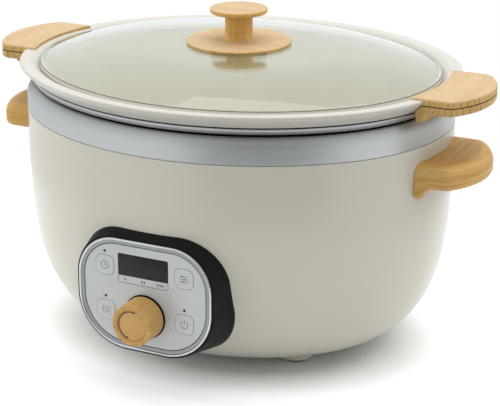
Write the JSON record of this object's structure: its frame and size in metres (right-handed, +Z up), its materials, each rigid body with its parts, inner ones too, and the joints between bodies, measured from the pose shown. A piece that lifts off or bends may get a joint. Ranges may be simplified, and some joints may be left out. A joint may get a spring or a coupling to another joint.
{
  "type": "slow cooker",
  "caption": "Oval countertop slow cooker: painted housing with steel band, lift-out pot with wood-look grips, domed glass lid, control pod with display, push buttons and a turning dial.",
  "frame": {"origin": "on the table, under the middle of the oval body, between the feet", "axes": "+X along the length to the right-hand handle, +Y to the back with the mains inlet, +Z up; the controls face -Y"},
  "size_m": [0.387, 0.3042, 0.2452],
  "materials": {
    "cream_paint": "satin",
    "brushed_steel": "brushed",
    "black_rubber": "matt",
    "well_metal": "satin",
    "glass_wool": "matt",
    "cast_aluminium": "matt",
    "element_metal": "matt",
    "screw_steel": "satin",
    "black_plastic": "satin",
    "circuit_board": "satin",
    "warm_wood": "satin",
    "pale_wood": "satin",
    "silver_trim": "satin",
    "silver_face": "satin",
    "display_black": "gloss",
    "white_plastic": "matt",
    "pot_metal": "satin",
    "lid_glass": "gloss",
    "clear_silicone": "satin"
  },
  "bodies": {
    "housing": {"outer_housing": "cream_paint", "steel_band": "brushed_steel", "well_gasket": "black_rubber", "inner_liner": "well_metal", "insulation_wrap": "glass_wool", "heater_plate": "cast_aluminium", "heating_element": "element_metal", "temperature_probe": "cast_aluminium", "heat_shield": "well_metal", "base_plate": "black_plastic", "base_screws": "screw_steel", "rubber_feet": "black_rubber", "power_board": "circuit_board", "housing_handle_left": "warm_wood", "housing_handle_right": "warm_wood", "housing_handle_screws": "screw_steel", "inlet_housing": "black_plastic", "power_inlet": "black_plastic", "control_pod": "black_plastic", "panel_trim": "silver_trim", "panel_face": "silver_face", "display_window": "display_black", "display_module": "white_plastic", "status_lights": "display_black", "control_board": "circuit_board", "button_switches": "black_plastic", "dial_encoder": "screw_steel", "dial_collar": "black_plastic"},
    "timer_button": {"button_timer": "silver_face"},
    "warm_button": {"button_warm": "silver_face"},
    "mode_button": {"button_mode": "silver_face"},
    "power_button": {"button_power": "silver_face"},
    "dial": {"control_knob": "warm_wood", "control_knob_cap": "warm_wood", "control_knob_shaft": "screw_steel"},
    "pot": {"cooking_pot": "pot_metal", "pot_handle_top_left": "pale_wood", "pot_handle_top_right": "pale_wood", "pot_handle_base_left": "warm_wood", "pot_handle_base_right": "warm_wood", "pot_handle_screws": "screw_steel"},
    "lid": {"lid_glass": "lid_glass", "lid_knob": "pale_wood", "lid_knob_base": "pale_wood", "lid_knob_gasket": "clear_silicone", "lid_knob_washer": "pale_wood", "lid_knob_screw": "screw_steel"}
  },
  "joints": [
    {"name": "pot_lift", "type": "slide", "parent": "housing", "child": "pot", "axis": [0, 0, 1], "range_m": [0, 0.125]},
    {"name": "lid_lift", "type": "slide", "parent": "pot", "child": "lid", "axis": [0, 0, 1], "range_m": [0, 0.08]},
    {"name": "dial_turn", "type": "hinge", "parent": "housing", "child": "dial", "pos_m": [0, -0.15, 0.0583], "axis": [0, -1, 0], "continuous": true},
    {"name": "timer_button_press", "type": "slide", "parent": "housing", "child": "timer_button", "axis": [0, 1, 0], "range_m": [0, 0.0005], "stiffness_N_per_m": 800, "springref_m": -0.0005},
    {"name": "warm_button_press", "type": "slide", "parent": "housing", "child": "warm_button", "axis": [0, 1, 0], "range_m": [0, 0.0005], "stiffness_N_per_m": 800, "springref_m": -0.0005},
    {"name": "mode_button_press", "type": "slide", "parent": "housing", "child": "mode_button", "axis": [0, 1, 0], "range_m": [0, 0.0005], "stiffness_N_per_m": 800, "springref_m": -0.0005},
    {"name": "power_button_press", "type": "slide", "parent": "housing", "child": "power_button", "axis": [0, 1, 0], "range_m": [0, 0.0005], "stiffness_N_per_m": 800, "springref_m": -0.0005}
  ]
}
